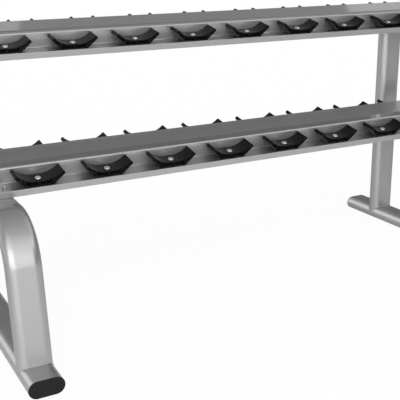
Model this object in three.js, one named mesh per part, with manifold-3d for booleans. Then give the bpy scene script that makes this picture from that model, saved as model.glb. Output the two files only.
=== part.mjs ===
// Two-tier dumbbell rack with twenty cradles a tier, in millimetres.
// +X runs along the rack, +Y to its back, +Z up. The origin is the middle of its footprint on the floor.
import * as THREE from 'three';
import { mergeVertices } from 'three/addons/utils/BufferGeometryUtils.js';
import Module from 'manifold-3d';

const wasm = await Module();
wasm.setup();

// ---------- driving dimensions ----------
const clearance = 0.3; // gap kept between pieces that bear on each other or are welded together

// flat-oval tube of the end frames
const tubeWidth = 101.6;
const tubeDepth = 50.8;
const tubeWall = 3;
const roundSteps = 8; // facets on each round side of the tube
const boreSteps = 3; // facets on each round side of its hollow

// end frames
const footLength = 890; // tube only, without its end caps
const uprightSetback = 158; // from the rear end of the foot tube to the middle of the upright
const legSetback = 106; // from the front end of the foot tube to the middle of the leg's root
const legLean = THREE.MathUtils.degToRad(6.8); // backward lean of the leg's straight stretch
const legBendRadius = 135; // at the middle of the tube
const legBendSteps = 10;
const frameOffset = 14; // frame's middle, outward from midway between the last two cradles

// foot end caps
const capFlange = 3;
const capEdge = 1.5; // rounding of the flange
const capPlugLength = 28;
const capPlugWall = 4;

// cradles and their pattern
const saddleCount = 10; // in each row
const saddlePitch = 216;
const rowSpacing = 184; // front row to rear row, along the sloping tray
const saddleDepth = 50;
const saddleBaseWidth = 74;
const saddleHornSpread = 150; // across the outer corners of the horns
const saddleHornCorner = 38; // height of those corners above the tray floor
const saddleTipSpread = 138; // across the horn tips
const saddleTipHeight = 45;
const saddleSeatHeight = 20; // bottom of the cradle above the tray floor
const saddleSeatFlat = 24; // level width at the bottom of the cradle
const saddleArcSteps = 6;

// cradle screws and the tapped strips they thread into
const screwDiameter = 10;
const screwHeadDiameter = 20;
const screwHeadSides = 8;
const screwHeadHeight = 5.7;
const screwHeadRim = 1.6;
const screwHeadCrown = 12; // diameter of the level top of the head
const socketSize = 7; // across the corners of the drive socket
const socketDepth = 3;
const screwTail = 4; // thread showing below the strip
const recessDiameter = 25.4;
const recessDepth = 4;
const stripWidth = 25;
const stripThickness = 6;
const stripOverhang = 30; // beyond the last screw

// formed trays
const sheet = 3;
const trayTilt = THREE.MathUtils.degToRad(11.5);
const trayEndMargin = 108; // beyond the middle of the last cradle
const lipGap = 13; // from the cradle's outer face to the outer face of the lip
const lipRise = 7; // above the tray floor
const lipDrop = 13; // below the tray floor
const wallGap = 3; // from the cradle's inner face to the wall of the raised deck
const deckHeight = 50.5; // of the deck's front edge, above the tray floor
const deckRearHeight = 54.2; // of its rear edge
const deckRadius = 5; // outer radius of the deck's edges
const footRadius = 3; // inner radius where a wall meets the floor
const creaseSetback = 44.6; // of the deck's lengthwise crease, from the front wall
const creaseDip = 5;
const bendSteps = 3;

// where the trays stand
const upperTrayHeight = 854.5; // tray floor midway between its rows
const lowerTrayHeight = 498.4;
const upperTrayForward = 33; // of the upright's middle
const lowerTrayForward = 279.5;
const lipToLeg = 0.6; // free height between the lower tray's lip and the leg below it

// tray brackets and their studs
const bracketReach = 118; // each way from the middle of the tray
const bracketThickness = 6;
const upperFlange = 4; // thickness of the side flanges
const upperFlangeDrop = 28;
const upperFlangeEnd = 5; // drop left at the ends of the flanges
const lowerPlateWidth = 80;
const lowerWeb = 5;
const lowerWebSpread = 36; // across the outer faces of the webs
const studDiameter = 8;
const studNut = 14;
const studNutHeight = 7;
const studSpread = 45;

// ---------- worked out from them ----------
const tubeRadius = tubeDepth / 2;
const footHalf = footLength / 2;
const uprightY = footHalf - uprightSetback;
const legRootY = -footHalf + legSetback;
const frameX = (saddleCount / 2 - 1) * saddlePitch + frameOffset;
const rowHalf = rowSpacing / 2;
const trayHalf = rowHalf + saddleDepth / 2 + lipGap;
const deckHalf = rowHalf - saddleDepth / 2 - wallGap;
const trayLength = (saddleCount - 1) * saddlePitch + 2 * trayEndMargin;
const stripTop = -sheet - clearance;
const stripBottom = stripTop - stripThickness;
const bracketTop = stripBottom - clearance;
const bracketBottom = bracketTop - bracketThickness;
const headBase = saddleSeatHeight - recessDepth + clearance;
const upperTrayY = uprightY - upperTrayForward;
const lowerTrayY = uprightY - lowerTrayForward;
const lipBottomZ = lowerTrayHeight - trayHalf * Math.sin(trayTilt) - lipDrop * Math.cos(trayTilt);
const legTopZ = lipBottomZ - lipToLeg;
const legMiddleZ = legTopZ - tubeRadius;

// ---------- materials ----------
const paint = new THREE.MeshStandardMaterial({ color: 0x9a9b9d, roughness: 0.28, metalness: 0.75 });
const rubber = new THREE.MeshStandardMaterial({ color: 0x17171a, roughness: 0.5, metalness: 0 });
const zinc = new THREE.MeshStandardMaterial({ color: 0xc8c9cb, roughness: 0.3, metalness: 1 });
const plastic = new THREE.MeshStandardMaterial({ color: 0x232325, roughness: 0.55, metalness: 0 });

// ---------- solids ----------
function toSolid(geometry) {
  geometry.deleteAttribute('normal');
  geometry.deleteAttribute('uv');
  const merged = mergeVertices(geometry, 1e-3);
  return new wasm.Manifold(new wasm.Mesh({
    numProp: 3,
    vertProperties: new Float32Array(merged.attributes.position.array),
    triVerts: new Uint32Array(merged.index.array),
  }));
}

function toGeometry(solid) {
  const mesh = solid.getMesh();
  const geometry = new THREE.BufferGeometry();
  geometry.setAttribute('position', new THREE.BufferAttribute(mesh.vertProperties, 3));
  geometry.setIndex(new THREE.BufferAttribute(mesh.triVerts, 1));
  geometry.computeVertexNormals();
  return geometry;
}

function named(name, geometry, material) {
  const mesh = new THREE.Mesh(geometry, material);
  mesh.name = name;
  return mesh;
}

// an upright bar between two heights, six-sided for shanks, holes and nuts
function bar(diameter, bottom, top, x = 0, y = 0, sides = 6) {
  const geometry = new THREE.CylinderGeometry(diameter / 2, diameter / 2, top - bottom, sides);
  geometry.rotateX(Math.PI / 2).translate(x, y, (top + bottom) / 2);
  return toSolid(geometry);
}

function block(width, depth, bottom, top) {
  const geometry = new THREE.BoxGeometry(width, depth, top - bottom);
  return toSolid(geometry.translate(0, 0, (top + bottom) / 2));
}

// a plate whose outline lies in the YZ plane, from x to x + width
function sidePlate(points, x, width) {
  const geometry = new THREE.ExtrudeGeometry(new THREE.Shape(points), { depth: width, bevelEnabled: false });
  const acrossX = new THREE.Matrix4().makeBasis(
    new THREE.Vector3(0, 1, 0), new THREE.Vector3(0, 0, 1), new THREE.Vector3(1, 0, 0));
  return toSolid(geometry.applyMatrix4(acrossX).translate(x, 0, 0));
}

function ovalPoints(width, depth, steps) {
  const radius = depth / 2;
  const half = width / 2 - radius;
  const right = [];
  for (let i = 0; i <= steps; i++) {
    const angle = -Math.PI / 2 + (Math.PI * i) / steps;
    right.push(new THREE.Vector2(half + radius * Math.cos(angle), radius * Math.sin(angle)));
  }
  return [...right, ...right.map((point) => point.clone().negate())];
}

function tubeShape() {
  const shape = new THREE.Shape(ovalPoints(tubeWidth, tubeDepth, roundSteps));
  const bore = ovalPoints(tubeWidth - 2 * tubeWall, tubeDepth - 2 * tubeWall, boreSteps);
  shape.holes.push(new THREE.Path(bore));
  return shape;
}

// a closed outline through corners [x, y, radius], with each radius in a few steps
function roundedOutline(corners) {
  const points = [];
  corners.forEach(([x, y, radius], i) => {
    const here = new THREE.Vector2(x, y);
    if (!radius) {
      points.push(here);
      return;
    }
    const before = new THREE.Vector2(...corners.at(i - 1)).sub(here).normalize();
    const after = new THREE.Vector2(...corners[(i + 1) % corners.length]).sub(here).normalize();
    const halfAngle = Math.acos(before.dot(after)) / 2;
    const reach = radius / Math.tan(halfAngle);
    const middle = before.clone().add(after).setLength(radius / Math.sin(halfAngle)).add(here);
    const start = before.multiplyScalar(reach).add(here).sub(middle);
    const end = after.multiplyScalar(reach).add(here).sub(middle);
    const turn = Math.atan2(start.cross(end), start.dot(end));
    for (let k = 0; k <= bendSteps; k++) {
      points.push(start.clone().rotateAround(new THREE.Vector2(), (turn * k) / bendSteps).add(middle));
    }
  });
  return points;
}

// ---------- end frames ----------
// A straight, a bend and a straight in the YZ plane, with one step along each straight.
class BentPath extends THREE.Curve {
  constructor(start, corner, end, radius, steps) {
    super();
    const first = corner.clone().sub(start).normalize();
    const last = end.clone().sub(corner).normalize();
    const turn = first.angleTo(last);
    const reach = radius * Math.tan(turn / 2);
    const inward = last.clone().addScaledVector(first, -Math.cos(turn)).normalize();
    const bendStart = corner.clone().addScaledVector(first, -reach);
    const centre = bendStart.clone().addScaledVector(inward, radius);
    this.points = [start];
    this.headings = [first];
    for (let k = 0; k <= steps; k++) {
      const angle = (turn * k) / steps;
      this.points.push(centre.clone()
        .addScaledVector(inward, -radius * Math.cos(angle))
        .addScaledVector(first, radius * Math.sin(angle)));
      this.headings.push(first.clone().multiplyScalar(Math.cos(angle))
        .addScaledVector(inward, Math.sin(angle)));
    }
    this.points.push(end);
    this.headings.push(last);
  }

  get steps() {
    return this.points.length - 1;
  }

  blend(list, t) {
    const place = Math.min(Math.max(t, 0), 1) * this.steps;
    const i = Math.min(Math.floor(place), this.steps - 1);
    return list[i].clone().lerp(list[i + 1], place - i);
  }

  getPointAt(t) {
    return this.blend(this.points, t);
  }

  getTangentAt(t) {
    return this.blend(this.headings, t).normalize();
  }
}

// lays a length of extruded tube down as the foot
function laidDown(geometry) {
  return toSolid(geometry.rotateX(Math.PI / 2).translate(0, footHalf, tubeRadius));
}

function footTube() {
  return laidDown(new THREE.ExtrudeGeometry(tubeShape(), { depth: footLength, bevelEnabled: false }));
}

// what a tube and the weld gap around it take out of the tubes that meet it
function cutter(length) {
  const outline = ovalPoints(tubeWidth + 2 * clearance, tubeDepth + 2 * clearance, roundSteps);
  return new THREE.ExtrudeGeometry(new THREE.Shape(outline), { depth: length, bevelEnabled: false });
}

// height of the sloping underside of the upper bracket, at a distance back from the tray's middle
function bracketUnderside(y) {
  return upperTrayHeight + (bracketBottom - clearance) / Math.cos(trayTilt) + y * Math.tan(trayTilt);
}

function uprightTube() {
  const geometry = new THREE.ExtrudeGeometry(tubeShape(), { depth: 1, bevelEnabled: false });
  const position = geometry.attributes.position;
  for (let i = 0; i < position.count; i++) {
    const y = position.getY(i) + uprightY;
    const top = bracketUnderside(y - upperTrayY);
    position.setXYZ(i, position.getX(i), y, position.getZ(i) > 0 ? top : tubeRadius);
  }
  return toSolid(geometry).subtract(laidDown(cutter(footLength)));
}

function legTube() {
  const rise = legMiddleZ - tubeRadius;
  const root = new THREE.Vector3(0, legRootY - tubeRadius * Math.tan(legLean), tubeRadius);
  const corner = new THREE.Vector3(0, root.y + rise * Math.tan(legLean), legMiddleZ);
  const end = new THREE.Vector3(0, uprightY, legMiddleZ);
  const path = new BentPath(root, corner, end, legBendRadius, legBendSteps);
  const geometry = new THREE.ExtrudeGeometry(tubeShape(), { steps: path.steps, extrudePath: path });
  const uprightCutter = toSolid(cutter(upperTrayHeight).translate(0, uprightY, 0));
  return toSolid(geometry).subtract(laidDown(cutter(footLength))).subtract(uprightCutter);
}

// a plastic cap that plugs the foot tube, with its flange towards -Y
function footCap() {
  const face = ovalPoints(tubeWidth - 2 * capEdge, tubeDepth - 2 * capEdge, roundSteps);
  const flange = new THREE.ExtrudeGeometry(new THREE.Shape(face), {
    depth: capFlange - capEdge, bevelSize: capEdge, bevelThickness: capEdge, bevelSegments: 2,
  });
  const fit = tubeWall + clearance;
  const plugShape = new THREE.Shape(ovalPoints(tubeWidth - 2 * fit, tubeDepth - 2 * fit, boreSteps));
  const inset = fit + capPlugWall;
  plugShape.holes.push(new THREE.Path(ovalPoints(tubeWidth - 2 * inset, tubeDepth - 2 * inset, boreSteps)));
  const plug = new THREE.ExtrudeGeometry(plugShape, { depth: capPlugLength + 1, bevelEnabled: false });
  const behind = block(2 * tubeWidth, 2 * tubeDepth, 0, 2 * capFlange);
  const disc = toSolid(flange.translate(0, 0, -capFlange + capEdge)).subtract(behind);
  const cap = disc.add(toSolid(plug.translate(0, 0, -1)));
  return toGeometry(cap).rotateX(-Math.PI / 2).translate(0, -footHalf - clearance, tubeRadius);
}

// ---------- cradles ----------
function saddleOutline() {
  const seatHalf = saddleSeatFlat / 2;
  const run = saddleTipSpread / 2 - seatHalf;
  const rise = saddleTipHeight - saddleSeatHeight;
  const radius = (run * run + rise * rise) / (2 * rise);
  const sweep = Math.asin(run / radius);
  const half = [new THREE.Vector2(saddleBaseWidth / 2, clearance),
    new THREE.Vector2(saddleHornSpread / 2, saddleHornCorner)];
  for (let i = saddleArcSteps; i >= 0; i--) {
    const angle = (sweep * i) / saddleArcSteps;
    half.push(new THREE.Vector2(seatHalf + radius * Math.sin(angle),
      saddleSeatHeight + radius * (1 - Math.cos(angle))));
  }
  const mirrored = half.map((point) => new THREE.Vector2(-point.x, point.y)).reverse();
  return [...half, ...mirrored];
}

function saddle() {
  const shape = new THREE.Shape(saddleOutline());
  const body = new THREE.ExtrudeGeometry(shape, { depth: saddleDepth, bevelEnabled: false });
  body.rotateX(Math.PI / 2).translate(0, saddleDepth / 2, 0);
  const recess = bar(recessDiameter, saddleSeatHeight - recessDepth, saddleTipHeight, 0, 0, screwHeadSides);
  const bore = bar(screwDiameter + 2 * clearance, -1, saddleSeatHeight);
  return toGeometry(toSolid(body).subtract(recess).subtract(bore));
}

// x of each cradle in a row
function rowPlaces() {
  return Array.from({ length: saddleCount }, (_, i) => (i - (saddleCount - 1) / 2) * saddlePitch);
}

// x of each bracket stud
function studPlaces() {
  return [-frameX, frameX].flatMap((x) => [x - studSpread / 2, x + studSpread / 2]);
}

function screw(x) {
  const radius = screwHeadDiameter / 2;
  const head = [[0, headBase], [radius, headBase], [radius, headBase + screwHeadRim],
    [screwHeadCrown / 2, headBase + screwHeadHeight], [0, headBase + screwHeadHeight]];
  const profile = head.map(([r, h]) => new THREE.Vector2(r, h));
  const cap = new THREE.LatheGeometry(profile, screwHeadSides).rotateX(Math.PI / 2);
  const socket = bar(socketSize, headBase + screwHeadHeight - socketDepth, headBase + screwHeadHeight + 1, x);
  const shank = bar(screwDiameter, stripBottom - screwTail, headBase + 1, x);
  return toSolid(cap.translate(x, 0, 0)).add(shank).subtract(socket);
}

// the ten screws of a row, threaded into the strip below the tray floor
function screwStrip() {
  const length = (saddleCount - 1) * saddlePitch + 2 * stripOverhang;
  let strip = block(length, stripWidth, stripBottom, stripTop);
  for (const x of studPlaces()) {
    strip = strip.subtract(bar(studDiameter + 2 * clearance, stripBottom - 1, stripTop + 1, x));
  }
  for (const x of rowPlaces()) {
    strip = strip.add(screw(x));
  }
  return toGeometry(strip);
}

// ---------- trays ----------
function traySection() {
  const inner = deckHalf - sheet;
  const creaseY = -deckHalf + creaseSetback;
  const creaseTop = deckHeight - creaseDip;
  const insideRadius = deckRadius - sheet;
  const frontUnder = deckHeight - sheet;
  const rearUnder = deckRearHeight - sheet;
  const hem = trayHalf - 2 * sheet;
  return roundedOutline([
    [-trayHalf, -lipDrop], [-trayHalf + sheet, -lipDrop], [-trayHalf + sheet, -sheet],
    [-inner, -sheet, footRadius + sheet], [-inner, frontUnder, insideRadius],
    [creaseY, creaseTop - sheet], [inner, rearUnder, insideRadius], [inner, -sheet, footRadius + sheet],
    [trayHalf - sheet, -sheet], [trayHalf - sheet, -lipDrop], [trayHalf, -lipDrop],
    [trayHalf, lipRise, sheet / 2], [hem, lipRise, sheet / 2], [hem, 0],
    [deckHalf, 0, footRadius], [deckHalf, deckRearHeight, deckRadius],
    [creaseY, creaseTop], [-deckHalf, deckHeight, deckRadius], [-deckHalf, 0, footRadius],
    [-hem, 0], [-hem, lipRise, sheet / 2], [-trayHalf, lipRise, sheet / 2],
  ]);
}

function tray() {
  let body = sidePlate(traySection(), -trayLength / 2, trayLength);
  for (const y of [-rowHalf, rowHalf]) {
    for (const x of rowPlaces()) {
      body = body.subtract(bar(screwDiameter + 2 * clearance, -sheet - 1, 1, x, y));
    }
    for (const x of studPlaces()) {
      body = body.subtract(bar(studDiameter + 2 * clearance, -sheet - 1, 1, x, y));
    }
  }
  return toGeometry(body);
}

// ---------- brackets ----------
// four welded studs through the strips and the tray, each with its nut
function studs() {
  const list = [];
  for (const y of [-rowHalf, rowHalf]) {
    for (const x of [-studSpread / 2, studSpread / 2]) {
      list.push(bar(studDiameter, bracketBottom + 1, studNutHeight, x, y));
      list.push(bar(studNut, clearance, studNutHeight, x, y));
    }
  }
  return list;
}

function upperBracket() {
  const inside = tubeWidth / 2 + clearance;
  const width = 2 * (inside + upperFlange);
  const uprightHalf = tubeRadius / Math.cos(trayTilt);
  const outline = [[-bracketReach, bracketTop], [-bracketReach, bracketBottom - upperFlangeEnd],
    [upperTrayForward - uprightHalf, bracketBottom - upperFlangeDrop],
    [upperTrayForward + uprightHalf, bracketBottom - upperFlangeDrop],
    [bracketReach, bracketBottom - upperFlangeEnd], [bracketReach, bracketTop]];
  const points = outline.map(([y, z]) => new THREE.Vector2(y, z));
  let body = block(width, 2 * bracketReach, bracketBottom, bracketTop);
  body = body.add(sidePlate(points, inside, upperFlange));
  body = body.add(sidePlate(points, -inside - upperFlange, upperFlange));
  return toGeometry(studs().reduce((whole, stud) => whole.add(stud), body));
}

// a wedge on the level top of the leg that brings the tray to its slope
function lowerBracket() {
  const drop = (lowerTrayHeight - legTopZ - clearance) / Math.cos(trayTilt);
  const underside = (y) => -drop - y * Math.tan(trayTilt);
  const corners = [[-bracketReach, bracketTop], [-bracketReach, underside(-bracketReach)],
    [bracketReach, underside(bracketReach)], [bracketReach, bracketTop]];
  const points = corners.map(([y, z]) => new THREE.Vector2(y, z));
  const edge = lowerWebSpread / 2;
  const plateBottom = Math.max(bracketBottom, underside(-bracketReach));
  let body = block(lowerPlateWidth, 2 * bracketReach, plateBottom, bracketTop);
  body = body.add(sidePlate(points, edge - lowerWeb, lowerWeb));
  body = body.add(sidePlate(points, -edge, lowerWeb));
  return toGeometry(studs().reduce((whole, stud) => whole.add(stud), body));
}

// ---------- the rack ----------
function tier(name, y, z, bracketGeometry) {
  const group = new THREE.Group();
  group.position.set(0, y, z);
  group.rotation.x = trayTilt;
  group.add(named(`${name}_tray`, tray(), paint));
  for (const [row, rowY] of [['front', -rowHalf], ['rear', rowHalf]]) {
    const strip = named(`${name}_${row}_screw_strip`, screwStrip(), zinc);
    strip.position.y = rowY;
    group.add(strip);
    rowPlaces().forEach((x, i) => {
      const piece = named(`${name}_${row}_saddle_${i + 1}`, saddle(), rubber);
      piece.position.set(x, rowY, 0);
      group.add(piece);
    });
  }
  for (const [side, x] of [['left', -frameX], ['right', frameX]]) {
    const bracket = named(`${side}_${name}_bracket`, bracketGeometry(), paint);
    bracket.position.x = x;
    group.add(bracket);
  }
  return group;
}

function endFrame(side, x) {
  const group = new THREE.Group();
  group.position.x = x;
  group.add(named(`${side}_foot`, toGeometry(footTube()), paint));
  group.add(named(`${side}_upright`, toGeometry(uprightTube()), paint));
  group.add(named(`${side}_front_leg`, toGeometry(legTube()), paint));
  group.add(named(`${side}_front_foot_cap`, footCap(), plastic));
  const rearCap = named(`${side}_rear_foot_cap`, footCap(), plastic);
  rearCap.rotation.z = Math.PI;
  group.add(rearCap);
  return group;
}

const rack = new THREE.Group();
rack.add(endFrame('left', -frameX), endFrame('right', frameX));
rack.add(tier('lower', lowerTrayY, lowerTrayHeight, lowerBracket));
rack.add(tier('upper', upperTrayY, upperTrayHeight, upperBracket));

export default rack;
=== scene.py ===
# Dumbbell rack: two sloping sheet-steel trays of moulded cradles on flat-oval tube end frames.
# Metres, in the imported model's frame: +X along the rack, +Y to its back, +Z up.
import math

import bmesh
import bpy
from mathutils import Matrix, Vector


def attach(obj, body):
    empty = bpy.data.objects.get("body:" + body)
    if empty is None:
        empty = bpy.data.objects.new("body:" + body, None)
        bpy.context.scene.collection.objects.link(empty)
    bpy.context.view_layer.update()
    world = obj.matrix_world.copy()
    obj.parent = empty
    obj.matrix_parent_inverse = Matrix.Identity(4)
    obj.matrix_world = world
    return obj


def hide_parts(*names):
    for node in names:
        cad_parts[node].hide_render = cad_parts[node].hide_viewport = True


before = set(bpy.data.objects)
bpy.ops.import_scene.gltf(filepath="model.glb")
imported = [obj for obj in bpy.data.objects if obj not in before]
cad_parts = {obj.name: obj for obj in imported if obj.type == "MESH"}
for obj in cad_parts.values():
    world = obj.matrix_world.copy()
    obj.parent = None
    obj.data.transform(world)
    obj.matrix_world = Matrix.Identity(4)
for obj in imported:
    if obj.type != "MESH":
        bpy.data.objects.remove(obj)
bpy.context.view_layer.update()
scene = bpy.context.scene
print("frame loaded:", len(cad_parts), "nodes")


# Makes a node; a value in inputs is either another node's socket or a plain value.
def addNode(tree, kind, inputs=None, **settings):
    made = tree.nodes.new(kind)
    for name, value in settings.items():
        setattr(made, name, value)
    for name, value in (inputs or {}).items():
        if isinstance(value, bpy.types.NodeSocket):
            tree.links.new(value, made.inputs[name])
        else:
            made.inputs[name].default_value = value
    return made


def calc(tree, operation, *values):
    return addNode(tree, "ShaderNodeMath", dict(enumerate(values)), operation=operation).outputs[0]


# Stretches what lies between start and end onto low to high.
def spread(tree, value, low, high, start=0.0, end=1.0, kind="LINEAR"):
    inputs = {"Value": value, "From Min": start, "From Max": end, "To Min": low, "To Max": high}
    return addNode(tree, "ShaderNodeMapRange", inputs, interpolation_type=kind).outputs[0]


# The same for noise, which mostly keeps between 0.3 and 0.7.
def spreadNoise(tree, pattern, low=0.0, high=1.0):
    return spread(tree, pattern, low, high, 0.3, 0.7)


def noise(tree, place, scale, detail=2.0, rough=0.5):
    inputs = {"Vector": place, "Scale": scale, "Detail": detail, "Roughness": rough}
    return addNode(tree, "ShaderNodeTexNoise", inputs).outputs[0]


# Small rounded cells, as in moulded grain.
def cells(tree, place, scale):
    inputs = {"Vector": place, "Scale": scale}
    return addNode(tree, "ShaderNodeTexVoronoi", inputs).outputs["Distance"]


def grey(value, warmth=0.0):
    return (value * (1 + warmth), value, value * (1 - warmth), 1.0)


# A new material with its shader, and the surface point that its patterns read.
def newMaterial(name, **settings):
    material = bpy.data.materials.new(name)
    material.use_nodes = True
    tree = material.node_tree
    shader = tree.nodes["Principled BSDF"]
    for socket, value in settings.items():
        shader.inputs[socket.replace("_", " ")].default_value = value
    place = addNode(tree, "ShaderNodeTexCoord").outputs["Object"]
    return material, tree, shader, place


# A pattern for the colour between two tones, and one for the roughness.
def setTones(tree, shader, tone, dark, light, rough):
    mixed = addNode(tree, "ShaderNodeMix", {0: tone, 6: dark, 7: light}, data_type="RGBA").outputs[2]
    tree.links.new(mixed, shader.inputs["Base Color"])
    tree.links.new(rough, shader.inputs["Roughness"])


# Bump layers from coarse to fine, each a height pattern and its depth in metres.
def addBumps(tree, shader, layers):
    normal = None
    for height, depth in layers:
        inputs = {"Height": height, "Distance": depth, "Strength": 1.0}
        if normal:
            inputs["Normal"] = normal
        normal = addNode(tree, "ShaderNodeBump", inputs).outputs["Normal"]
    tree.links.new(normal, shader.inputs["Normal"])


silverLook = {
    "metallic": 0.82, "dark": 0.4, "light": 0.45,  # base colour between the flakes and on them
    "aslant": 0.2,  # how much of its sheen the paint keeps at a low slant
    "coatRough": 0.03,
    "roughLow": 0.36, "roughHigh": 0.44, "hazeScale": 22.0,
    "flakeScale": 2600.0, "driftScale": 3.1, "flakeShare": 0.6,
    "wave": 0.00004, "waveScale": 7.0,  # depth and scale of the sheet's slow waves
    "peel": 0.0000022, "peelScale": 420.0,  # and of the orange peel
}


# Gloss silver paint over steel: fine flakes, slow drift in tone, a little orange peel.
def makeSilverPaint(look):
    material, tree, shader, place = newMaterial(
        "silver_paint", Metallic=look["metallic"], Specular_Tint=grey(look["aslant"]),
        Coat_Weight=1.0, Coat_Roughness=look["coatRough"], Coat_IOR=1.5)
    flakes = noise(tree, place, look["flakeScale"], 1.0)
    drift = calc(tree, "MULTIPLY", noise(tree, place, look["driftScale"], 3.0), 1 - look["flakeShare"])
    tone = spreadNoise(tree, calc(tree, "MULTIPLY_ADD", flakes, look["flakeShare"], drift))
    haze = noise(tree, place, look["hazeScale"], 4.0, 0.6)
    setTones(tree, shader, tone, grey(look["dark"], 0.004), grey(look["light"], -0.004),
             spreadNoise(tree, haze, look["roughLow"], look["roughHigh"]))
    addBumps(tree, shader, [(noise(tree, place, look["waveScale"], 1.0), look["wave"]),
                            (noise(tree, place, look["peelScale"], 1.0), look["peel"])])
    return material


rubberLook = {
    "dark": 0.0012, "light": 0.003, "roughLow": 0.5, "roughHigh": 0.66, "speckScale": 700.0,
    "bloom": 0.15, "bloomScale": 34.0,
    "mould": 0.00012, "mouldScale": 60.0, "grain": 0.00005, "grainScale": 1500.0,
}


# Moulded rubber: fine pebble grain, a dull bloom that comes and goes. Its roughness follows two
# noises added up, which keep between 0.6 and 1.4.
def makeMouldedRubber(look):
    material, tree, shader, place = newMaterial(
        "black_rubber", Specular_IOR_Level=0.1, Sheen_Weight=look["bloom"], Sheen_Roughness=0.4)
    bloom = noise(tree, place, look["bloomScale"], 4.0, 0.6)
    both = calc(tree, "ADD", bloom, noise(tree, place, look["speckScale"]))
    setTones(tree, shader, spreadNoise(tree, bloom), grey(look["dark"], -0.02), grey(look["light"], 0.01),
             spread(tree, both, look["roughLow"], look["roughHigh"], 0.6, 1.4))
    addBumps(tree, shader, [(noise(tree, place, look["mouldScale"]), look["mould"]),
                            (cells(tree, place, look["grainScale"]), look["grain"])])
    return material


zincLook = {
    "dark": 0.5, "light": 0.68, "roughLow": 0.36, "roughHigh": 0.5, "cloudScale": 180.0,
    "brushed": 0.00001, "brushedScale": 900.0,
}


# Bright zinc plate with a faint crystalline cloud, smoother where it is lighter.
def makeZincPlate(look):
    material, tree, shader, place = newMaterial("zinc_plate", Metallic=1.0)
    cloud = noise(tree, place, look["cloudScale"], 5.0, 0.65)
    setTones(tree, shader, spreadNoise(tree, cloud), grey(look["dark"], 0.01), grey(look["light"], -0.005),
             spreadNoise(tree, cloud, look["roughHigh"], look["roughLow"]))
    addBumps(tree, shader, [(noise(tree, place, look["brushedScale"]), look["brushed"])])
    return material


capLook = {
    "dark": 0.0022, "light": 0.0044, "roughLow": 0.38, "roughHigh": 0.5, "cloudScale": 26.0,
    "grain": 0.00003, "grainScale": 1900.0,
}


# Moulded plastic of the end caps, with spark-eroded grain.
def makeCapPlastic(look):
    material, tree, shader, place = newMaterial("black_plastic", Specular_IOR_Level=0.3)
    cloud = noise(tree, place, look["cloudScale"], 3.0)
    setTones(tree, shader, spreadNoise(tree, cloud), grey(look["dark"]), grey(look["light"]),
             spreadNoise(tree, cloud, look["roughLow"], look["roughHigh"]))
    addBumps(tree, shader, [(cells(tree, place, look["grainScale"]), look["grain"])])
    return material


silverPaint = makeSilverPaint(silverLook)
mouldedRubber = makeMouldedRubber(rubberLook)
zincPlate = makeZincPlate(zincLook)
capPlastic = makeCapPlastic(capLook)
# The CAD nodes get the same finishes, for when a piece that stands for one is taken out.
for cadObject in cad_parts.values():
    finish = silverPaint
    if "saddle" in cadObject.name:
        finish = mouldedRubber
    elif "strip" in cadObject.name:
        finish = zincPlate
    elif "cap" in cadObject.name:
        finish = capPlastic
    for materialSlot in cadObject.material_slots:
        materialSlot.material = finish
print("materials made")


def newPiece(name, points=(), faces=(), edges=()):
    mesh = bpy.data.meshes.new(name)
    mesh.from_pydata([tuple(point) for point in points], list(edges), list(faces))
    mesh.update()
    piece = bpy.data.objects.new(name, mesh)
    scene.collection.objects.link(piece)
    return piece


def faceOutwards(piece):
    shape = bmesh.new()
    shape.from_mesh(piece.data)
    bmesh.ops.remove_doubles(shape, verts=shape.verts, dist=1e-6)
    bmesh.ops.recalc_face_normals(shape, faces=shape.faces)
    shape.to_mesh(piece.data)
    shape.free()
    return piece


# Makes a plain mesh of what a piece's modifiers give, and takes them off.
def settle(piece):
    bpy.context.view_layer.update()
    evaluated = piece.evaluated_get(bpy.context.evaluated_depsgraph_get())
    mesh = bpy.data.meshes.new_from_object(evaluated)
    piece.modifiers.clear()
    piece.data = mesh
    return piece


def shadeByAngle(piece, degrees=32):
    piece.data.shade_smooth()
    piece.data.set_sharp_from_angle(angle=math.radians(degrees))
    return piece


def roundEdges(piece, width, degrees=40):
    bevel = piece.modifiers.new("edges", "BEVEL")
    bevel.width = width
    bevel.segments = 2
    bevel.limit_method = "ANGLE"
    bevel.angle_limit = math.radians(degrees)
    bevel.harden_normals = True
    piece.data.shade_smooth()
    return settle(piece)


# Joins another solid to a piece, or cuts it away, and removes that other.
def combine(piece, operation, other):
    join = piece.modifiers.new("join", "BOOLEAN")
    join.operation = operation
    join.solver = "EXACT"
    join.object = other
    settle(piece)
    bpy.data.objects.remove(other)


# Puts a finished piece on its body, with its material and the CAD nodes that it stands for.
def dress(piece, material, slotName, *nodes):
    if not piece.data.materials:
        piece.data.materials.append(material)
    piece.data.materials[0] = material
    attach(piece, "root")
    if nodes:
        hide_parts(*nodes)
    return piece


# Quads from each ring to the next, and in a loop from the last to the first too.
def skin(rings, loop=False):
    count = len(rings[0])
    faces = []
    for i in range(len(rings) if loop else len(rings) - 1):
        here, there = i * count, (i + 1) % len(rings) * count
        for k in range(count):
            m = (k + 1) % count
            faces.append((here + k, here + m, there + m, there + k))
    return faces


def pointsOf(rings):
    return [point for ring in rings for point in ring]


# A tube wall: the rings run along its outside and back along its inside.
def loftLoop(name, rings):
    return faceOutwards(newPiece(name, pointsOf(rings), skin(rings, True)))


# Skins rings in order and closes the first and the last with a face each.
def loftCapped(name, rings):
    points = pointsOf(rings)
    last = len(points) - len(rings[-1])
    ends = [tuple(range(len(rings[0]))), tuple(range(last, len(points)))]
    return faceOutwards(newPiece(name, points, ends + skin(rings)))


# A prism of a flat outline; place(u, v, end) puts an outline point on either end face.
def prism(name, outline, place):
    return loftCapped(name, [[place(u, v, end) for u, v in outline] for end in (0, 1)])


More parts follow.
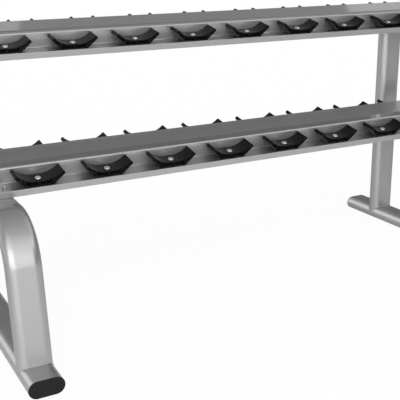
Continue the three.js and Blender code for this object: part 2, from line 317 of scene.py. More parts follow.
# A level ring about the Z axis; radiusAt gives its radius in a direction.
def levelRing(sides, height, radiusAt):
    ring = []
    for k in range(sides):
        angle = 2 * math.pi * k / sides
        ring.append((radiusAt(angle) * math.cos(angle), radiusAt(angle) * math.sin(angle), height))
    return ring


def roundRing(sides, height, radius):
    return levelRing(sides, height, lambda angle: radius)


# Radius of a hexagon in a direction, with a corner at angle 0.
def hexRadius(corner, angle):
    return corner * math.cos(math.pi / 6) / math.cos(angle % (math.pi / 3) - math.pi / 6)


# A closed outline through corners (u, v, radius), with points close to each end of a rounding.
def roundedOutline(corners, steps=8, support=0.0006):
    outline = []
    for i, (u, v, radius) in enumerate(corners):
        here = Vector((u, v))
        if not radius:
            outline.append(here)
            continue
        before = (Vector(corners[i - 1][:2]) - here).normalized()
        after = (Vector(corners[(i + 1) % len(corners)][:2]) - here).normalized()
        halfAngle = before.angle(after) / 2
        reach = radius / math.tan(halfAngle)
        middle = here + (before + after).normalized() * radius / math.sin(halfAngle)
        start, end = here + before * reach, here + after * reach
        turn = (start - middle).angle_signed(end - middle)
        arc = []
        for k in range(steps + 1):
            swing = Matrix.Rotation(-turn * k / steps, 2)
            arc.append(middle + swing @ (start - middle))
        if support:
            arc = [start + before * support] + arc + [end + after * support]
        outline.extend(arc)
    return outline


# A Geometry Nodes tree with one geometry in and one out: gives the tree, its input sockets, and
# the identifier by which a modifier sets each input.
def newTree(name, inputs):
    tree = bpy.data.node_groups.new(name, "GeometryNodeTree")
    identifiers = {}
    for label, kind in {"Geometry": "Geometry", **inputs}.items():
        socket = tree.interface.new_socket(label, in_out="INPUT", socket_type="NodeSocket" + kind)
        identifiers[label] = socket.identifier
    tree.interface.new_socket("Geometry", in_out="OUTPUT", socket_type="NodeSocketGeometry")
    return tree, tree.nodes.new("NodeGroupInput").outputs, identifiers


def endTree(tree, geometry, finish):
    real = addNode(tree, "GeometryNodeRealizeInstances", {"Geometry": geometry}).outputs[0]
    done = addNode(tree, "GeometryNodeSetMaterial", {"Geometry": real, "Material": finish}).outputs[0]
    addNode(tree, "NodeGroupOutput", {0: done})


def runTree(piece, tree, identifiers, values):
    run = piece.modifiers.new(tree.name, "NODES")
    run.node_group = tree
    for label, value in values.items():
        run[identifiers[label]] = value
    return settle(piece)


tubeStock = {
    "width": 0.1016, "depth": 0.0508, "wall": 0.003,
    "steps": 24,  # facets round each round side
    "edge": 0.0006, "endRounding": 0.0005,
}
tubeRadius = tubeStock["depth"] / 2
tubeFlat = (tubeStock["width"] - tubeStock["depth"]) / 2


# Across and through of a flat oval, anticlockwise, with a point just inside each end of both flats.
def ovalOutline(inset=0.0):
    radius = tubeRadius - inset
    steps = tubeStock["steps"]
    right = [(tubeFlat - tubeStock["edge"], -radius)]
    for i in range(steps + 1):
        angle = -math.pi / 2 + math.pi * i / steps
        right.append((tubeFlat + radius * math.cos(angle), radius * math.sin(angle)))
    right.append((tubeFlat - tubeStock["edge"], radius))
    return right + [(-across, -through) for across, through in right]


# How far a flat oval stands out from its middle plane, at a place across its width.
def ovalReach(across):
    return math.sqrt(max(tubeRadius ** 2 - max(abs(across) - tubeFlat, 0.0) ** 2, 0.0))


endFrame = {
    "x": 0.878, "footHalf": 0.445, "uprightY": 0.287, "legRootY": -0.339,
    "uprightTop": -0.0159,  # of the upright from the upper tray's floor, square to it
    "legLean": math.radians(6.8), "bendRadius": 0.135, "bendSteps": 30,
    "legMiddleZ": 0.43374,  # middle of the leg's level stretch
    "sink": 0.0004,  # how far a coped end goes into the tube that it meets
}
bothSides = (("left", -endFrame["x"]), ("right", endFrame["x"]))
tray = {
    "tilt": math.radians(11.5), "length": 2.16,
    "places": {"upper": (0.254, 0.8545), "lower": (0.0075, 0.4984)},  # y, z of the floor's middle
    "half": 0.13, "deckHalf": 0.064, "sheet": 0.003, "lipDrop": 0.013, "lipRise": 0.007,
    "deckHeight": 0.0505, "deckRearHeight": 0.0542,  # of the deck's front and rear edges
    "creaseY": -0.0194, "creaseDip": 0.005, "creaseRadius": 0.012,
    "deckRadius": 0.005, "footRadius": 0.003, "hemFootRadius": 0.0012, "lipInnerRadius": 0.001,
    "edge": 0.0004,
}
rowHalf = 0.092
pitch = 0.216
inRow = 10


# From a tray's own frame (along, back, up from its floor) to the rack's.
def trayMatrix(tier):
    y, z = tray["places"][tier]
    return Matrix.Translation((0, y, z)) @ Matrix.Rotation(tray["tilt"], 4, "X")


def footTopAt(across):
    return tubeRadius + ovalReach(across)


def uprightTopAt(y):
    trayY, trayZ = tray["places"]["upper"]
    return trayZ + endFrame["uprightTop"] / math.cos(tray["tilt"]) + (y - trayY) * math.tan(tray["tilt"])


def makeFoot(side, x):
    half, rounding = endFrame["footHalf"], tubeStock["endRounding"]
    wall = tubeStock["wall"]
    stations = [(-half, rounding), (-half + rounding, 0), (half - rounding, 0), (half, rounding),
                (half, wall), (-half, wall)]
    rings = []
    for y, inset in stations:
        rings.append([(x + a, y, tubeRadius + b) for a, b in ovalOutline(inset)])
    foot = loftLoop(side + "_foot_tube", rings)
    return dress(shadeByAngle(foot), silverPaint, "silver_paint", side + "_foot")


def makeUpright(side, x):
    rings = []
    for inset in (0, tubeStock["wall"]):
        outline = ovalOutline(inset)
        low = [(x + a, endFrame["uprightY"] + b, footTopAt(a) - endFrame["sink"]) for a, b in outline]
        high = []
        for a, b in outline:
            y = endFrame["uprightY"] + b
            high.append((x + a, y, uprightTopAt(y)))
        rings += [high, low] if inset else [low, high]
    upright = loftLoop(side + "_upright_tube", rings)
    return dress(shadeByAngle(upright), silverPaint, "silver_paint", side + "_upright")


# y, z and heading (its angle from upright) along the leg's bend, from the lower end to the upper.
def legBend():
    lean, radius = endFrame["legLean"], endFrame["bendRadius"]
    rise = endFrame["legMiddleZ"] - tubeRadius
    rootY = endFrame["legRootY"] - tubeRadius * math.tan(lean)
    cornerY = rootY + rise * math.tan(lean)
    turn = math.pi / 2 - lean
    reach = radius * math.tan(turn / 2)
    startY = cornerY - reach * math.sin(lean)
    startZ = endFrame["legMiddleZ"] - reach * math.cos(lean)
    centreY = startY + radius * math.cos(lean)
    centreZ = startZ - radius * math.sin(lean)
    stations = []
    for k in range(endFrame["bendSteps"] + 1):
        heading = lean + turn * k / endFrame["bendSteps"]
        stations.append((centreY - radius * math.cos(heading), centreZ + radius * math.sin(heading),
                         heading))
    return stations


# Where a line of the leg's skin meets the foot below and the upright behind.
def legEnds(x, a, b, stations, sink):
    y, z, heading = stations[0]
    ahead = Vector((0, math.sin(heading), math.cos(heading)))
    start = Vector((x + a, y, z)) + Vector((0, math.cos(heading), -math.sin(heading))) * b
    low = start + ahead * (footTopAt(a) - sink - start.z) / ahead.z
    high = Vector((x + a, endFrame["uprightY"] - ovalReach(a) + sink, stations[-1][1] - b))
    return low, high


def makeFrontLeg(side, x):
    stations = legBend()
    rings = []
    for inset in (0, tubeStock["wall"]):
        outline = ovalOutline(inset)
        ends = [legEnds(x, a, b, stations, endFrame["sink"]) for a, b in outline]
        run = [[low for low, high in ends]]
        for y, z, heading in stations:
            run.append([(x + a, y + math.cos(heading) * b, z - math.sin(heading) * b)
                        for a, b in outline])
        run.append([high for low, high in ends])
        rings += run[::-1] if inset else run
    leg = loftLoop(side + "_front_leg_tube", rings)
    return dress(shadeByAngle(leg), silverPaint, "silver_paint", side + "_front_leg")


for side, x in bothSides:
    makeFoot(side, x)
    makeUpright(side, x)
    makeFrontLeg(side, x)
print("end frames made")

weld = {
    "radius": 0.0019, "ripple": 0.14, "ripplePitch": 0.0042, "step": 0.0009, "sides": 8,
    "uneven": 0.5, "unevenScale": 90.0,  # slow change of a bead's thickness
}


# A rippled bead along every edge path of a mesh.
def beadTree():
    tree, given, identifiers = newTree("weld bead", {
        "Radius": "Float", "Ripple": "Float", "Ripple Pitch": "Float", "Step": "Float",
        "Sides": "Int", "Finish": "Material"})
    path = addNode(tree, "GeometryNodeMeshToCurve", {"Mesh": given["Geometry"]}).outputs[0]
    finePath = addNode(tree, "GeometryNodeResampleCurve", {"Curve": path, "Length": given["Step"]},
                       mode="LENGTH").outputs[0]
    along = addNode(tree, "GeometryNodeSplineParameter").outputs["Length"]
    turns = calc(tree, "MULTIPLY", calc(tree, "DIVIDE", along, given["Ripple Pitch"]), 2 * math.pi)
    swell = calc(tree, "MULTIPLY_ADD", calc(tree, "SINE", turns), given["Ripple"], 1.0)
    drift = addNode(tree, "ShaderNodeTexNoise", {"Scale": weld["unevenScale"], "Detail": 1.0}).outputs[0]
    change = calc(tree, "MULTIPLY", calc(tree, "SUBTRACT", drift, 0.5), weld["uneven"])
    thick = calc(tree, "MULTIPLY", calc(tree, "ADD", swell, change), given["Radius"])
    circle = addNode(tree, "GeometryNodeCurvePrimitiveCircle",
                     {"Resolution": given["Sides"], "Radius": 1.0}).outputs[0]
    bead = addNode(tree, "GeometryNodeCurveToMesh",
                   {"Curve": finePath, "Profile Curve": circle, "Scale": thick,
                    "Fill Caps": True}).outputs[0]
    smooth = addNode(tree, "GeometryNodeSetShadeSmooth", {0: bead}).outputs[0]
    endTree(tree, smooth, given["Finish"])
    return tree, identifiers


beads, beadInputs = beadTree()


# Each seam is a closed list of points.
def makeWelds(name, seams):
    points, edges = [], []
    for seam in seams:
        start, count = len(points), len(seam)
        points += seam
        edges += [(start + k, start + (k + 1) % count) for k in range(count)]
    piece = newPiece(name, points, edges=edges)
    runTree(piece, beads, beadInputs, {
        "Radius": weld["radius"], "Ripple": weld["ripple"], "Ripple Pitch": weld["ripplePitch"],
        "Step": weld["step"], "Sides": weld["sides"], "Finish": silverPaint})
    return dress(faceOutwards(piece), silverPaint, "silver_paint")


for side, x in bothSides:
    bend = legBend()
    legSeams = [legEnds(x, a, b, bend, 0.0) for a, b in ovalOutline()]
    uprightSeam = [(x + a, endFrame["uprightY"] + b, footTopAt(a)) for a, b in ovalOutline()]
    makeWelds(side + "_frame_welds",
              [[low for low, high in legSeams], [high for low, high in legSeams], uprightSeam])
print("frame welds made")


# The sheet's section, back and up from the middle of the tray floor.
def traySection():
    sheet, half, deckHalf = tray["sheet"], tray["half"], tray["deckHalf"]
    drop, lip, hemFoot = tray["lipDrop"], tray["lipRise"], tray["hemFootRadius"]
    inner, hem = deckHalf - sheet, half - 2 * sheet
    frontTop, rearTop = tray["deckHeight"], tray["deckRearHeight"]
    crease, dip, creaseRadius = tray["creaseY"], tray["deckHeight"] - tray["creaseDip"], tray["creaseRadius"]
    fold = sheet / 2 - 0.0001  # just short of half the sheet, so that its two roundings fit
    foot, deck = tray["footRadius"], tray["deckRadius"]
    corners = [
        (-half, -drop, 0), (-half + sheet, -drop, 0), (-half + sheet, -sheet, tray["lipInnerRadius"]),
        (-inner, -sheet, foot + sheet), (-inner, frontTop - sheet, deck - sheet),
        (crease, dip - sheet, creaseRadius), (inner, rearTop - sheet, deck - sheet),
        (inner, -sheet, foot + sheet), (half - sheet, -sheet, tray["lipInnerRadius"]),
        (half - sheet, -drop, 0), (half, -drop, 0), (half, lip, fold), (hem, lip, fold),
        (hem, 0, hemFoot), (deckHalf, 0, foot), (deckHalf, rearTop, deck), (crease, dip, creaseRadius),
        (-deckHalf, frontTop, deck), (-deckHalf, 0, foot), (-hem, 0, hemFoot), (-hem, lip, fold),
        (-half, lip, fold),
    ]
    return roundedOutline(corners)


def makeTray(tier):
    half = tray["length"] / 2
    piece = prism(tier + "_tray_sheet", traySection(), lambda u, v, end: (half if end else -half, u, v))
    roundEdges(piece, tray["edge"], 60)
    piece.data.transform(trayMatrix(tier))
    return dress(piece, silverPaint, "silver_paint", tier + "_tray")


for tier in tray["places"]:
    makeTray(tier)
print("trays made")


# Copies of the piece's own mesh at equal steps along X and Y.
def copiesTree():
    tree, given, identifiers = newTree("copies in rows", {
        "Count X": "Int", "Count Y": "Int", "Pitch X": "Float", "Pitch Y": "Float",
        "Finish": "Material"})
    places = None
    for axis in ("X", "Y"):
        last = calc(tree, "SUBTRACT", given["Count " + axis], 1.0)
        first = calc(tree, "MULTIPLY", calc(tree, "MULTIPLY", last, given["Pitch " + axis]), -0.5)
        begin = addNode(tree, "ShaderNodeCombineXYZ", {axis: first}).outputs[0]
        step = addNode(tree, "ShaderNodeCombineXYZ", {axis: given["Pitch " + axis]}).outputs[0]
        line = addNode(tree, "GeometryNodeMeshLine",
                       {"Count": given["Count " + axis], "Start Location": begin, "Offset": step},
                       mode="OFFSET").outputs[0]
        if places is None:
            places = line
            continue
        grid = addNode(tree, "GeometryNodeInstanceOnPoints", {"Points": line, "Instance": places})
        places = addNode(tree, "GeometryNodeRealizeInstances", {"Geometry": grid.outputs[0]}).outputs[0]
    copies = addNode(tree, "GeometryNodeInstanceOnPoints",
                     {"Points": places, "Instance": given["Geometry"]}).outputs[0]
    endTree(tree, copies, given["Finish"])
    return tree, identifiers


rows, rowInputs = copiesTree()


def repeatPiece(piece, material, countX, pitchX, countY=1, pitchY=0.0):
    return runTree(piece, rows, rowInputs, {
        "Count X": countX, "Count Y": countY, "Pitch X": pitchX, "Pitch Y": pitchY, "Finish": material})


saddle = {
    "depth": 0.05, "lift": 0.0003, "baseHalf": 0.037, "hornHalf": 0.077, "hornCorner": 0.0362,
    "tipHalf": 0.0692, "tipHeight": 0.0452, "seatHeight": 0.02, "seatFlat": 0.012,
    "arcSteps": 18, "baseRadius": 0.003, "hornRadius": 0.0046, "tipRadius": 0.0034,
    "recess": 0.0127, "recessDepth": 0.004, "bore": 0.0053, "roundSides": 40,
    "wall": 0.004, "baseWall": 0.0032, "ribHalf": 0.0018,  # round the hollows and between them
    "seatPocket": 0.012, "hornPocket": 0.02,  # depth of the hollows from either face
    "seatPocketBends": (0.032, 0.022), "seatPocketEnd": 0.0425,  # their places from the middle
    "hornPocketStart": 0.0465, "hornPocketBend": 0.054, "hornPocketEnd": 0.0615,
    "pocketRadius": 0.0018, "tightRadius": 0.0006,
    "edge": 0.0009,
    "spare": 0.002,  # how far a cutter stands out of what it cuts
}


# The cradle's arc: middle height and radius, and the sweep from the seat's flat to a tip.
def saddleArc():
    run = saddle["tipHalf"] - saddle["seatFlat"]
    rise = saddle["tipHeight"] - saddle["seatHeight"]
    radius = (run * run + rise * rise) / (2 * rise)
    return saddle["seatHeight"] + radius, radius, math.asin(run / radius)


def saddleOutline():
    middle, radius, sweep = saddleArc()
    right = [(saddle["baseHalf"], saddle["lift"], saddle["baseRadius"]),
             (saddle["hornHalf"], saddle["hornCorner"], saddle["hornRadius"]),
             (saddle["tipHalf"], saddle["tipHeight"], saddle["tipRadius"])]
    steps = saddle["arcSteps"]
    for i in range(steps - 1, 0, -1):
        angle = sweep * i / steps
        right.append((saddle["seatFlat"] + radius * math.sin(angle), middle - radius * math.cos(angle), 0))
    left = [(-u, v, r) for u, v, r in right[::-1]]
    return roundedOutline(right + left, 5, 0)


# The hollows in a cradle's end faces, kept a wall's width inside its outline.
def saddlePockets():
    middle, radius = saddleArc()[:2]
    wall, lift = saddle["wall"], saddle["lift"]
    slope = (saddle["hornCorner"] - lift) / (saddle["hornHalf"] - saddle["baseHalf"])
    aside = wall / math.sin(math.atan(slope))

    def under(u):
        return middle - math.sqrt((radius + wall) ** 2 - max(u - saddle["seatFlat"], 0.0) ** 2)

    def outer(u):
        return lift + (u - saddle["baseHalf"] + aside) * slope

    low = lift + saddle["baseWall"]
    foot = saddle["baseHalf"] - aside + saddle["baseWall"] / slope
    corner, tight = saddle["pocketRadius"], saddle["tightRadius"]
    seatEnd, hornStart, hornEnd = saddle["seatPocketEnd"], saddle["hornPocketStart"], saddle["hornPocketEnd"]
    seat = [(saddle["ribHalf"], low, corner), (foot, low, corner),
            (seatEnd, outer(seatEnd), corner), (seatEnd, under(seatEnd), corner)]
    seat += [(u, under(u), 0) for u in saddle["seatPocketBends"]]
    seat.append((saddle["ribHalf"], saddle["seatHeight"] - wall, corner))
    bend = saddle["hornPocketBend"]
    horn = [(hornStart, outer(hornStart), corner), (hornEnd, outer(hornEnd), tight),
            (hornEnd, under(hornEnd), tight), (bend, under(bend), 0),
            (hornStart, under(hornStart), corner)]
    return [seat, horn]


def pocketCutter():
    half = saddle["depth"] / 2
    whole = bmesh.new()
    for corners, deep in zip(saddlePockets(), (saddle["seatPocket"], saddle["hornPocket"])):
        for turn in (1, -1):
            for end in (1, -1):
                outline = roundedOutline([(turn * u, v, r) for u, v, r in corners], 4, 0)
                part = prism("pocket", outline, lambda u, v, far: (
                    u, end * (half + saddle["spare"] if far else half - deep), v))
                whole.from_mesh(part.data)
                bpy.data.objects.remove(part)
    cutter = newPiece("pocket_cutter")
    whole.to_mesh(cutter.data)
    whole.free()
    return faceOutwards(cutter)


# A round cutter from a height upwards.
def roundCutter(radius, low):
    high = saddle["tipHeight"] + saddle["spare"]
    return loftCapped("round_cutter", [roundRing(saddle["roundSides"], height, radius)
                                       for height in (low, high)])


# One cradle about its own middle, as moulded.
def makeSaddle():
    half = saddle["depth"] / 2
    piece = prism("saddle", saddleOutline(), lambda u, v, end: (u, half if end else -half, v))
    recessFloor = saddle["seatHeight"] - saddle["recessDepth"]
    combine(piece, "DIFFERENCE", pocketCutter())
    combine(piece, "DIFFERENCE", roundCutter(saddle["recess"], recessFloor))
    combine(piece, "DIFFERENCE", roundCutter(saddle["bore"], saddle["lift"] - saddle["spare"]))
    return roundEdges(piece, saddle["edge"], 42)


screw = {
    "radius": 0.01, "base": 0.0163, "rim": 0.0016, "height": 0.0057, "crown": 0.006, "domeSteps": 8,
    "socket": 0.0035, "socketDepth": 0.003, "sinkTop": 0.0006, "sinkFoot": 0.0001,
    "shank": 0.005, "tail": -0.0133, "tip": 0.0008, "ease": 0.0004, "segments": 36,
    "stripHalf": 1.002, "stripWidth": 0.025, "stripTop": -0.0033, "stripBottom": -0.0093,
    "stripEdge": 0.0005,
}


# A button-head screw on its shank: rounded rim, dome, crown and a countersunk six-sided socket.
def makeScrew():
    base, top, ease = screw["base"], screw["base"] + screw["height"], screw["ease"]
    rim, socketFloor = base + screw["rim"], top - screw["socketDepth"]
    profile = [(screw["shank"], screw["tail"] + screw["tip"]), (screw["shank"], base),
               (screw["radius"] - ease, base), (screw["radius"], base + ease), (screw["radius"], rim)]
    run, rise = screw["radius"] - screw["crown"], top - rim
    for k in range(1, screw["domeSteps"]):
        angle = math.pi / 2 * k / screw["domeSteps"]
        profile.append((screw["crown"] + run * math.cos(angle), rim + rise * math.sin(angle)))
    profile += [(screw["crown"], top), (screw["socket"] + screw["sinkTop"], top),
                (screw["socket"] + screw["sinkFoot"], top - ease)]
    sides = screw["segments"]
    rings = [roundRing(sides, height, radius) for radius, height in profile]
    for height in (top - 2 * ease, socketFloor):
        rings.append(levelRing(sides, height, lambda angle: hexRadius(screw["socket"], angle)))
    points = pointsOf(rings)
    tip, last = len(points), len(points) - sides
    points += [(0, 0, screw["tail"]), (0, 0, socketFloor)]
    faces = skin(rings)
    for k in range(sides):
        m = (k + 1) % sides
        faces += [(m, k, tip), (last + k, last + m, tip + 1)]
    return shadeByAngle(faceOutwards(newPiece("screw", points, faces)), 40)


def makeStrip():
    half, side = screw["stripHalf"], screw["stripWidth"] / 2
    outline = [(-side, screw["stripBottom"]), (side, screw["stripBottom"]),
               (side, screw["stripTop"]), (-side, screw["stripTop"])]
    piece = prism("strip", outline, lambda u, v, end: (half if end else -half, u, v))
    return roundEdges(piece, screw["stripEdge"])


def putInPlace(piece, name, place):
    piece.name = name
    piece.data.transform(place)
    return piece


for tier in tray["places"]:
    for row, rowY in (("front", -rowHalf), ("rear", rowHalf)):
        rowPlace = trayMatrix(tier) @ Matrix.Translation((0, rowY, 0))
        label = tier + "_" + row
        saddles = repeatPiece(makeSaddle(), mouldedRubber, inRow, pitch)
        dress(putInPlace(saddles, label + "_cradles", rowPlace), mouldedRubber, "black_rubber",
              *[label + "_saddle_" + str(i + 1) for i in range(inRow)])
        screws = repeatPiece(makeScrew(), zincPlate, inRow, pitch)
        for piece, name in ((screws, "_cradle_screws"), (makeStrip(), "_tapped_strip")):
            dress(putInPlace(piece, label + name, rowPlace), zincPlate, "zinc_plate",
                  label + "_screw_strip")
print("cradles, screws and strips made")

bracket = {
    "reach": 0.118, "top": -0.0096, "bottom": -0.0156, "flange": 0.004, "flangeDrop": 0.028,
    "flangeEnd": 0.005, "gap": 0.0003, "plateHalf": 0.04, "web": 0.005, "webHalf": 0.018,
    "edge": 0.0008, "studX": 0.045, "stud": 0.004, "studTop": 0.007, "studSides": 24,
    "nut": 0.007, "nutBottom": 0.0002, "nutTop": 0.0058, "chamfer": 0.0008,
    "ease": 0.0006, "nutMouth": 0.0007,  # at the stud's end and where it comes out of the nut
}


# A plate on its edge: outline back and up, from x to x + width.
def sidePlate(outline, x, width):
    return prism("plate", outline, lambda u, v, end: (x + width * end, u, v))


def levelPlate(halfX, halfY, bottom, top):
    outline = [(-halfX, -halfY), (halfX, -halfY), (halfX, halfY), (-halfX, halfY)]
    return prism("plate", outline, lambda u, v, end: (u, v, top if end else bottom))


def makeUpperBracket():
    reach, top, bottom, flange = (bracket[size] for size in ("reach", "top", "bottom", "flange"))
    inside = tubeStock["width"] / 2 + bracket["gap"]
    uprightAt = endFrame["uprightY"] - tray["places"]["upper"][0]
    half = tubeRadius / math.cos(tray["tilt"])
    endFoot, foot = bottom - bracket["flangeEnd"], bottom - bracket["flangeDrop"]
    outline = [(-reach, top), (-reach, endFoot), (uprightAt - half, foot), (uprightAt + half, foot),
               (reach, endFoot), (reach, top)]
    body = levelPlate(inside + flange, reach, bottom, top)
    for x in (inside, -inside - flange):
        combine(body, "UNION", sidePlate(outline, x, flange))
    return roundEdges(body, bracket["edge"], 30)


# Height of the leg's level top over the lower tray's floor (so below nought), at a place back.
def legBelowTray(back):
    fall = tray["places"]["lower"][1] - endFrame["legMiddleZ"] - tubeRadius - bracket["gap"]
    return -fall / math.cos(tray["tilt"]) - back * math.tan(tray["tilt"])


def makeLowerBracket():
    reach, top = bracket["reach"], bracket["top"]
    outline = [(-reach, top), (-reach, legBelowTray(-reach)), (reach, legBelowTray(reach)), (reach, top)]
    body = levelPlate(bracket["plateHalf"], reach, max(bracket["bottom"], legBelowTray(-reach)), top)
    for x in (bracket["webHalf"] - bracket["web"], -bracket["webHalf"]):
        combine(body, "UNION", sidePlate(outline, x, bracket["web"]))
    return roundEdges(body, bracket["edge"], 30)


# A stud end standing out of its chamfered nut, above the tray floor.
def makeStudAndNut():
    sides, nut, stud = bracket["studSides"], bracket["nut"], bracket["stud"]
    nutTop, studTop, chamfer, ease = (bracket[size] for size in ("nutTop", "studTop", "chamfer", "ease"))
    rings = []
    for height, limit in ((bracket["nutBottom"], nut - chamfer), (chamfer, math.inf),
                          (nutTop - chamfer, math.inf), (nutTop, nut - chamfer)):
        rings.append(levelRing(sides, height, lambda angle: min(hexRadius(nut, angle), limit)))
    for radius, height in ((stud + bracket["nutMouth"], nutTop), (stud, nutTop - ease),
                           (stud, studTop - ease), (stud - ease, studTop)):
        rings.append(roundRing(sides, height, radius))
    return shadeByAngle(loftCapped("stud", rings), 28)


for tier, makeBracket in (("upper", makeUpperBracket), ("lower", makeLowerBracket)):
    for side, x in bothSides:
        place = trayMatrix(tier) @ Matrix.Translation((x, 0, 0))
        node = side + "_" + tier + "_bracket"
        dress(putInPlace(makeBracket(), node + "_plates", place), silverPaint, "silver_paint", node)
        nuts = repeatPiece(makeStudAndNut(), zincPlate, 2, bracket["studX"], 2, 2 * rowHalf)
        dress(putInPlace(nuts, node + "_nuts", place), zincPlate, "zinc_plate", node)
print("brackets made")

cap = {
    "flange": 0.003, "flangeInside": 0.0005,  # of its outer and inner face from the tube's end
    "edge": 0.0015, "edgeSteps": 5, "gap": 0.0003, "plugLength": 0.028, "plugWall": 0.004,
    "core": 0.004, "support": 0.0004,  # rings in the flat faces, at the middle and beside the rim
}


# A tube plug: flange with a rounded rim, and a hollow skirt inside the tube.
def makeCap(side, end, x, turn):
    face, inside, edge, gap = cap["flange"], cap["flangeInside"], cap["edge"], cap["gap"]
    fit, core = tubeStock["wall"] + gap, tubeRadius - cap["core"]
    stations = [(face, core), (face, edge + cap["core"]), (face, edge + cap["support"])]
    for k in range(cap["edgeSteps"] + 1):
        angle = math.pi / 2 * k / cap["edgeSteps"]
        stations.append((face - edge + edge * math.cos(angle), edge - edge * math.sin(angle)))
    stations += [(0, 0), (0, fit), (-cap["plugLength"], fit), (-cap["plugLength"], fit + cap["plugWall"]),
                 (inside, fit + cap["plugWall"]), (inside, core)]
    rings = []
    for out, inset in stations:
        y = turn * (endFrame["footHalf"] + gap + out)
        rings.append([(x + a, y, tubeRadius + b) for a, b in ovalOutline(inset)])
    piece = loftCapped(side + "_" + end + "_cap", rings)
    return dress(shadeByAngle(piece), capPlastic, "black_plastic", side + "_" + end + "_foot_cap")


for side, x in bothSides:
    makeCap(side, "front", x, -1)
    makeCap(side, "rear", x, 1)
print("caps made")

studio = {
    "floorHalf": 14.0, "floorColour": 0.82, "floorGlow": 0.93, "floorShade": 0.08,
    # the same floor as gloss and glass show it: a painted pool of light, glowing around pool and dimming out
    # to its two radii
    "mirrorGlow": 0.62, "mirrorDim": 0.25, "mirrorShade": 0.4,
    "pool": (-0.4, -1.7), "poolInner": 1.0, "poolOuter": 2.8,
    "surround": 0.3,  # level wherever no panel is
    # azimuth from +Y towards +X, elevation, half width, half height, slant, softness (degrees), level
    "panels": [
        (203.0, 12.5, 38.0, 25.5, 0.0, 12.0, 3.2),  # in front
        (192.0, 52.0, 36.0, 16.0, 0.0, 16.0, 1.3),
        (322.0, 24.0, 28.0, 22.0, 0.0, 8.0, 1.7),  # behind on the left
        (94.0, 34.0, 32.0, 9.0, 0.0, 6.0, 1.1),  # on the right
        (95.0, 61.0, 38.0, 12.0, 0.0, 10.0, 0.75),
        (124.0, 3.0, 36.0, 12.0, 0.0, 8.0, 0.12),
        (136.0, 38.0, 11.0, 9.0, 0.0, 6.0, 3.0),  # for the rims
        (21.0, 45.0, 37.0, 45.0, 0.0, 6.0, 0.34),  # the dark gap behind the rack
        (28.0, 21.5, 30.0, 5.0, 0.0, 4.0, 0.12),
        (276.0, -1.0, 32.0, 9.0, 0.0, 6.0, 1.2),  # low on the left
        (13.7, 38.5, 6.1, 5.5, 0.0, 0.6, 1.0),  # bright windows beside the gap
        (53.45, 31.5, 5.0, 7.0, 1.68, 0.6, 1.05),
    ],
}


# Soft studio light by direction; the camera itself sees plain white.
def lightStudio():
    world = bpy.data.worlds.new("studio")
    scene.world = world
    world.use_nodes = True
    tree = world.node_tree
    tree.nodes.clear()
    toward = addNode(tree, "ShaderNodeTexCoord").outputs["Generated"]
    parts = addNode(tree, "ShaderNodeSeparateXYZ", {0: toward}).outputs
    inDegrees = math.degrees(1)
    azimuth = calc(tree, "MULTIPLY", calc(tree, "ARCTAN2", parts[0], parts[1]), inDegrees)
    height = calc(tree, "MULTIPLY", calc(tree, "ARCSINE", parts[2]), inDegrees)

    # 1 within a panel's half size and 0 outside it, with a soft border
    def within(distance, half, softness):
        return spread(tree, distance, 1.0, 0.0, half - softness / 2, half + softness / 2, "SMOOTHSTEP")

    level = studio["surround"]
    for middle, up, halfWidth, halfHeight, slant, softness, strength in studio["panels"]:
        rise = calc(tree, "SUBTRACT", height, up)
        leaning = calc(tree, "MULTIPLY", rise, slant)
        turned = calc(tree, "SUBTRACT", calc(tree, "SUBTRACT", azimuth, middle), leaning)
        aside = calc(tree, "ABSOLUTE", calc(tree, "WRAP", turned, -180.0, 180.0))
        amount = calc(tree, "MULTIPLY", within(aside, halfWidth, softness),
                      within(calc(tree, "ABSOLUTE", rise), halfHeight, softness))
        change = calc(tree, "MULTIPLY", amount, calc(tree, "SUBTRACT", strength, level))
        level = calc(tree, "ADD", level, change)
    seen = addNode(tree, "ShaderNodeLightPath").outputs["Is Camera Ray"]
    both = addNode(tree, "ShaderNodeMixShader", {0: seen})
    for socket, strength in ((1, level), (2, 1.0)):
        inputs = {"Color": (1, 1, 1, 1), "Strength": strength}
        tree.links.new(addNode(tree, "ShaderNodeBackground", inputs).outputs[0], both.inputs[socket])
    addNode(tree, "ShaderNodeOutputWorld", {"Surface": both.outputs[0]})


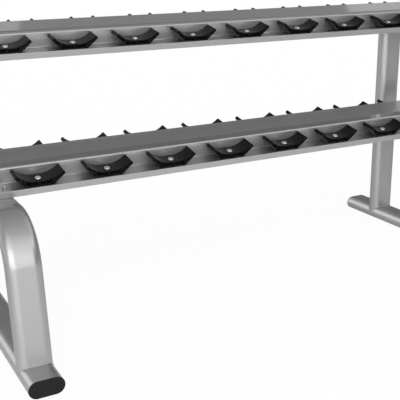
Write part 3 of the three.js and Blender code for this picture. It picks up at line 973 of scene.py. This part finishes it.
# A pale floor that looks white but still takes a soft shadow.
def layFloor():
    half = studio["floorHalf"]
    outline = [(-half, -half), (half, -half), (half, half), (-half, half)]
    floor = newPiece("floor", [(x, y, 0) for x, y in outline], [(0, 1, 2, 3)])
    material, tree, shader, place = newMaterial(
        "pale floor", Base_Color=grey(studio["floorColour"]), Roughness=0.9, Specular_IOR_Level=0.1)
    path = addNode(tree, "ShaderNodeLightPath").outputs
    away = addNode(tree, "ShaderNodeVectorMath", {0: place, 1: studio["pool"] + (0,)},
                   operation="DISTANCE").outputs["Value"]
    # painted pool of light: the floor glows brighter near pool for glossy and transmission rays
    pool = spread(tree, away, studio["mirrorGlow"], studio["mirrorDim"], studio["poolInner"],
                  studio["poolOuter"], "SMOOTHSTEP")
    surface = shader.outputs[0]
    for ray, glow, shade in ((calc(tree, "MAXIMUM", path["Is Glossy Ray"], path["Is Transmission Ray"]),
                              pool, studio["mirrorShade"]),
                             (path["Is Camera Ray"], studio["floorGlow"], studio["floorShade"])):
        shine = addNode(tree, "ShaderNodeEmission", {"Strength": glow}).outputs[0]
        matt = addNode(tree, "ShaderNodeBsdfDiffuse", {"Color": grey(shade)}).outputs[0]
        bright = addNode(tree, "ShaderNodeAddShader", {0: shine, 1: matt}).outputs[0]
        surface = addNode(tree, "ShaderNodeMixShader", {0: ray, 1: surface, 2: bright}).outputs[0]
    tree.links.new(surface, tree.nodes["Material Output"].inputs["Surface"])
    floor.data.materials.append(material)


view = {"place": (-1.38355, -2.26902, 1.11448), "yaw": 0.4896, "down": 0.3013, "roll": -0.0126,
        "lens": 70.954, "sensor": 36.0}


def placeCamera():
    yaw, down, roll = view["yaw"], view["down"], view["roll"]
    ahead = Vector((math.sin(yaw) * math.cos(down), math.cos(yaw) * math.cos(down), -math.sin(down)))
    aside = Vector((math.cos(yaw), -math.sin(yaw), 0))
    above = aside.cross(ahead)
    right = aside * math.cos(roll) + above * math.sin(roll)
    up = above * math.cos(roll) - aside * math.sin(roll)
    data = bpy.data.cameras.new("camera")
    data.lens = view["lens"]
    data.sensor_width = view["sensor"]
    camera = bpy.data.objects.new("camera", data)
    scene.collection.objects.link(camera)
    turned = Matrix((right, up, -ahead)).transposed().to_4x4()
    camera.matrix_world = Matrix.Translation(view["place"]) @ turned
    scene.camera = camera


lightStudio()
layFloor()
placeCamera()
scene.view_settings.view_transform = "Standard"
print("studio and camera set")
